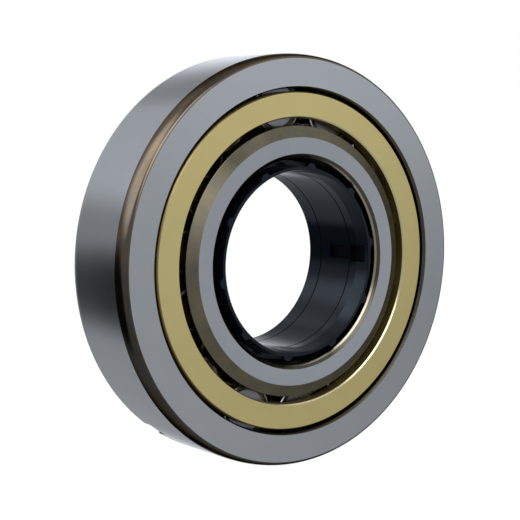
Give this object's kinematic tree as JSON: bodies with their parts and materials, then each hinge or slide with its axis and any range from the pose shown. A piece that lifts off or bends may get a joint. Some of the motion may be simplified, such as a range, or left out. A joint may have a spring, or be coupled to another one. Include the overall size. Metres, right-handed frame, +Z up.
{
  "type": "cylindrical roller bearing",
  "caption": "Flanged cylindrical roller bearing with a riveted brass cage, a loose flange ring, locating slots and a toothed plastic sleeve in its bore.",
  "frame": {"origin": "middle of the bearing, on its axis and halfway between its side faces", "axes": "Y is the bearing axis with the front side towards -Y, Z is up, X is to the right seen from the front"},
  "size_m": [0.08, 0.018, 0.08],
  "materials": {
    "ring_steel": "ground, satin",
    "roller_steel": "lapped, bright",
    "cage_brass": "turned, satin",
    "sleeve_plastic": "moulded, glossy"
  },
  "bodies": {
    "outer": {"outer_ring": "ring_steel"},
    "inner": {"inner_ring": "ring_steel", "loose_flange_ring": "ring_steel"},
    "cage": {"cage_comb": "cage_brass", "cage_cover": "cage_brass"},
    "sleeve": {"transport_sleeve": "sleeve_plastic"},
    "roller_01": {"roller_01": "roller_steel"},
    "roller_02": {"roller_02": "roller_steel"},
    "roller_03": {"roller_03": "roller_steel"},
    "roller_04": {"roller_04": "roller_steel"},
    "roller_05": {"roller_05": "roller_steel"},
    "roller_06": {"roller_06": "roller_steel"},
    "roller_07": {"roller_07": "roller_steel"},
    "roller_08": {"roller_08": "roller_steel"},
    "roller_09": {"roller_09": "roller_steel"},
    "roller_10": {"roller_10": "roller_steel"},
    "roller_11": {"roller_11": "roller_steel"},
    "roller_12": {"roller_12": "roller_steel"},
    "roller_13": {"roller_13": "roller_steel"},
    "roller_14": {"roller_14": "roller_steel"}
  },
  "joints": [
    {"name": "inner_spin", "type": "hinge", "parent": "outer", "child": "inner", "pos_m": [0, 0, 0], "axis": [0, -1, 0], "continuous": true},
    {"name": "cage_spin", "type": "hinge", "parent": "outer", "child": "cage", "pos_m": [0, 0, 0], "axis": [0, -1, 0], "continuous": true},
    {"name": "sleeve_pull", "type": "slide", "parent": "inner", "child": "sleeve", "axis": [0, -1, 0], "range_m": [0, 0.02]},
    {"name": "roller_01_spin", "type": "hinge", "parent": "cage", "child": "roller_01", "pos_m": [-0.0029, 0, 0.03011], "axis": [0, -1, 0], "continuous": true},
    {"name": "roller_02_spin", "type": "hinge", "parent": "cage", "child": "roller_02", "pos_m": [0.01045, 0, 0.02839], "axis": [0, -1, 0], "continuous": true},
    {"name": "roller_03_spin", "type": "hinge", "parent": "cage", "child": "roller_03", "pos_m": [0.02173, 0, 0.02104], "axis": [0, -1, 0], "continuous": true},
    {"name": "roller_04_spin", "type": "hinge", "parent": "cage", "child": "roller_04", "pos_m": [0.02871, 0, 0.00953], "axis": [0, -1, 0], "continuous": true},
    {"name": "roller_05_spin", "type": "hinge", "parent": "cage", "child": "roller_05", "pos_m": [0.03, 0, -0.00387], "axis": [0, -1, 0], "continuous": true},
    {"name": "roller_06_spin", "type": "hinge", "parent": "cage", "child": "roller_06", "pos_m": [0.02535, 0, -0.01651], "axis": [0, -1, 0], "continuous": true},
    {"name": "roller_07_spin", "type": "hinge", "parent": "cage", "child": "roller_07", "pos_m": [0.01568, 0, -0.02587], "axis": [0, -1, 0], "continuous": true},
    {"name": "roller_08_spin", "type": "hinge", "parent": "cage", "child": "roller_08", "pos_m": [0.0029, 0, -0.03011], "axis": [0, -1, 0], "continuous": true},
    {"name": "roller_09_spin", "type": "hinge", "parent": "cage", "child": "roller_09", "pos_m": [-0.01045, 0, -0.02839], "axis": [0, -1, 0], "continuous": true},
    {"name": "roller_10_spin", "type": "hinge", "parent": "cage", "child": "roller_10", "pos_m": [-0.02173, 0, -0.02104], "axis": [0, -1, 0], "continuous": true},
    {"name": "roller_11_spin", "type": "hinge", "parent": "cage", "child": "roller_11", "pos_m": [-0.02871, 0, -0.00953], "axis": [0, -1, 0], "continuous": true},
    {"name": "roller_12_spin", "type": "hinge", "parent": "cage", "child": "roller_12", "pos_m": [-0.03, 0, 0.00387], "axis": [0, -1, 0], "continuous": true},
    {"name": "roller_13_spin", "type": "hinge", "parent": "cage", "child": "roller_13", "pos_m": [-0.02535, 0, 0.01651], "axis": [0, -1, 0], "continuous": true},
    {"name": "roller_14_spin", "type": "hinge", "parent": "cage", "child": "roller_14", "pos_m": [-0.01568, 0, 0.02587], "axis": [0, -1, 0], "continuous": true}
  ],
  "couplings": [
    {"joint": "cage_spin", "follows": "inner_spin", "ratio": 0.40909},
    {"joint": "roller_01_spin", "follows": "inner_spin", "ratio": -2.6591},
    {"joint": "roller_02_spin", "follows": "inner_spin", "ratio": -2.6591},
    {"joint": "roller_03_spin", "follows": "inner_spin", "ratio": -2.6591},
    {"joint": "roller_04_spin", "follows": "inner_spin", "ratio": -2.6591},
    {"joint": "roller_05_spin", "follows": "inner_spin", "ratio": -2.6591},
    {"joint": "roller_06_spin", "follows": "inner_spin", "ratio": -2.6591},
    {"joint": "roller_07_spin", "follows": "inner_spin", "ratio": -2.6591},
    {"joint": "roller_08_spin", "follows": "inner_spin", "ratio": -2.6591},
    {"joint": "roller_09_spin", "follows": "inner_spin", "ratio": -2.6591},
    {"joint": "roller_10_spin", "follows": "inner_spin", "ratio": -2.6591},
    {"joint": "roller_11_spin", "follows": "inner_spin", "ratio": -2.6591},
    {"joint": "roller_12_spin", "follows": "inner_spin", "ratio": -2.6591},
    {"joint": "roller_13_spin", "follows": "inner_spin", "ratio": -2.6591},
    {"joint": "roller_14_spin", "follows": "inner_spin", "ratio": -2.6591}
  ]
}
